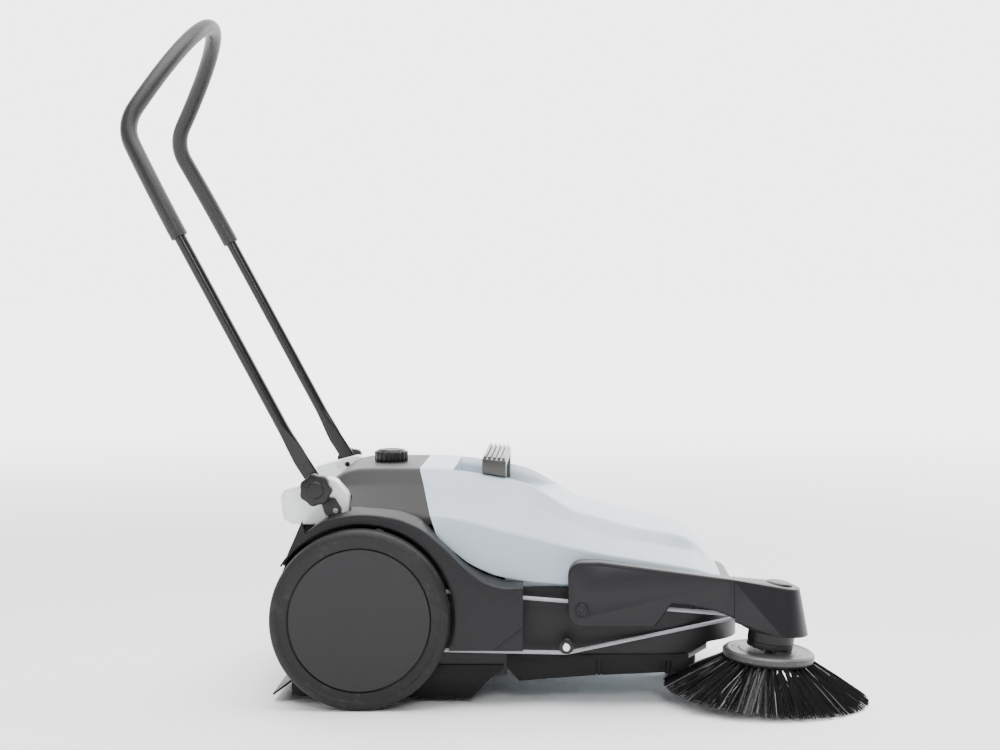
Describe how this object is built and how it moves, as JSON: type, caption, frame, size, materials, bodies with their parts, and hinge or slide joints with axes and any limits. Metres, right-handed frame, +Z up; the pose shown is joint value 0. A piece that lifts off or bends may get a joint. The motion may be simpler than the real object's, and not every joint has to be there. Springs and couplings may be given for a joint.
{
  "type": "manual floor sweeper",
  "caption": "Push floor sweeper with belt-driven main broom and tilted side broom, lift-out dirt hopper and folding tube handle.",
  "frame": {"origin": "on the floor, under the middle of the whole sweeper's box as it stands", "axes": "+X is the direction of travel, from the handle to the side broom; +Y is to the operator's left, away from the side broom; +Z is up"},
  "size_m": [1.2656, 0.7284, 1.1791],
  "materials": {
    "black_plastic": "moulded, fine matte grain",
    "dark_grey_plastic": "moulded, fine matte grain",
    "hub_cover_plastic": "moulded, matte",
    "pale_blue_plastic": "moulded, satin",
    "translucent_white_plastic": "moulded, slightly see-through",
    "tyre_rubber": "solid rubber, matte",
    "flap_rubber": "matte",
    "bristle_nylon": "extruded filaments",
    "zinc_steel": "zinc plated",
    "black_tube_paint": "gloss powder coat",
    "grip_foam": "closed-cell foam sleeve",
    "belt_rubber": "round cord belt"
  },
  "bodies": {
    "chassis": {"side_frame_right": "dark_grey_plastic", "side_frame_left": "dark_grey_plastic", "fender_right": "dark_grey_plastic", "fender_left": "dark_grey_plastic", "front_body": "dark_grey_plastic", "rear_panel": "dark_grey_plastic", "broom_hood": "dark_grey_plastic", "rear_housing": "dark_grey_plastic", "handle_bracket_right": "translucent_white_plastic", "handle_bracket_left": "translucent_white_plastic", "rear_flap": "flap_rubber", "side_skirt_right": "flap_rubber", "side_skirt_left": "flap_rubber", "front_skirt_right": "flap_rubber", "front_skirt_left": "flap_rubber", "dust_lip": "flap_rubber", "axle_right": "zinc_steel", "axle_left": "zinc_steel", "caster_plate": "zinc_steel", "idler_screw": "zinc_steel", "belt_guide": "black_plastic", "drive_belt": "belt_rubber", "arm_pivot_bolt": "zinc_steel"},
    "handle": {"handle_tube": "black_tube_paint", "handle_grip": "grip_foam", "leg_foot_right": "black_plastic", "leg_foot_left": "black_plastic"},
    "clamp_knob_right": {"clamp_knob_right": "black_plastic"},
    "clamp_knob_left": {"clamp_knob_left": "black_plastic"},
    "wheel_right": {"tyre_right": "tyre_rubber", "wheel_hub_right": "black_plastic", "hub_cover_right": "hub_cover_plastic", "side_broom_drive_pulley": "black_plastic"},
    "wheel_left": {"tyre_left": "tyre_rubber", "wheel_hub_left": "black_plastic", "hub_cover_left": "hub_cover_plastic", "main_broom_drive_pulley": "black_plastic"},
    "idler": {"idler_roller": "black_plastic"},
    "broom_arms": {"swing_arm_right": "zinc_steel", "swing_arm_left": "zinc_steel", "lift_bar": "zinc_steel", "broom_belt": "belt_rubber"},
    "main_broom": {"broom_core": "black_plastic", "main_bristles": "bristle_nylon", "broom_pulley": "black_plastic"},
    "height_knob": {"height_knob": "black_plastic", "knob_spindle": "zinc_steel"},
    "hopper": {"hopper_shell": "pale_blue_plastic", "hopper_grip": "black_plastic", "hopper_seal": "flap_rubber"},
    "side_arm": {"arm_cover": "dark_grey_plastic", "head_cap": "black_plastic", "spindle_housing": "black_plastic"},
    "side_broom": {"side_spindle": "zinc_steel", "side_pulley": "black_plastic", "broom_disc": "black_plastic", "side_bristles": "bristle_nylon"},
    "caster_fork": {"caster_fork": "zinc_steel"},
    "caster_wheel": {"caster_wheel": "tyre_rubber"}
  },
  "joints": [
    {"name": "handle_fold", "type": "hinge", "parent": "chassis", "child": "handle", "pos_m": [-0.29581, 0.04421, 0.361], "axis": [0, -1, 0], "range_deg": [-112, 12]},
    {"name": "clamp_knob_right_turn", "type": "hinge", "parent": "chassis", "child": "clamp_knob_right", "pos_m": [-0.29581, -0.21379, 0.361], "axis": [0, -1, 0], "range_deg": [0, 360]},
    {"name": "clamp_knob_left_turn", "type": "hinge", "parent": "chassis", "child": "clamp_knob_left", "pos_m": [-0.29581, 0.30221, 0.361], "axis": [0, 1, 0], "range_deg": [0, 360]},
    {"name": "wheel_right_spin", "type": "hinge", "parent": "chassis", "child": "wheel_right", "pos_m": [-0.21981, -0.23579, 0.14943], "axis": [0, 1, 0], "continuous": true},
    {"name": "wheel_left_spin", "type": "hinge", "parent": "chassis", "child": "wheel_left", "pos_m": [-0.21981, 0.32421, 0.14943], "axis": [0, 1, 0], "continuous": true},
    {"name": "idler_spin", "type": "hinge", "parent": "chassis", "child": "idler", "pos_m": [0.12239, -0.22979, 0.1], "axis": [0, 1, 0], "continuous": true},
    {"name": "broom_swing", "type": "hinge", "parent": "chassis", "child": "broom_arms", "pos_m": [-0.21981, 0.04421, 0.14943], "axis": [0, -1, 0], "range_deg": [0, 5.7]},
    {"name": "main_broom_spin", "type": "hinge", "parent": "broom_arms", "child": "main_broom", "pos_m": [-0.12481, 0.04421, 0.126], "axis": [0, 1, 0], "continuous": true},
    {"name": "height_knob_turn", "type": "hinge", "parent": "chassis", "child": "height_knob", "pos_m": [-0.19381, 0.04421, 0.3861], "axis": [0, 0, 1], "range_deg": [0, 90]},
    {"name": "hopper_lift", "type": "slide", "parent": "chassis", "child": "hopper", "axis": [0, 0, 1], "range_m": [0, 0.22]},
    {"name": "side_arm_lift", "type": "hinge", "parent": "chassis", "child": "side_arm", "pos_m": [0.14769, -0.21379, 0.1653], "axis": [0, -1, 0], "range_deg": [0, 5.8], "deforming": ["drive_belt"]},
    {"name": "side_broom_spin", "type": "hinge", "parent": "side_arm", "child": "side_broom", "pos_m": [0.46319, -0.19279, 0.083], "axis": [0.0764, -0.0521, 0.9957], "continuous": true},
    {"name": "caster_swivel", "type": "hinge", "parent": "chassis", "child": "caster_fork", "pos_m": [0.35219, 0.04421, 0.078], "axis": [0, 0, 1], "continuous": true},
    {"name": "caster_wheel_spin", "type": "hinge", "parent": "caster_fork", "child": "caster_wheel", "pos_m": [0.31919, 0.04421, 0.03433], "axis": [0, 1, 0], "continuous": true}
  ],
  "couplings": [
    {"joint": "side_broom_spin", "follows": "wheel_right_spin", "ratio": 1.8929},
    {"joint": "idler_spin", "follows": "wheel_right_spin", "ratio": 5.0476},
    {"joint": "main_broom_spin", "follows": "wheel_left_spin", "ratio": -2.1},
    {"joint": "height_knob_turn", "follows": "broom_swing", "ratio": 15.79}
  ]
}
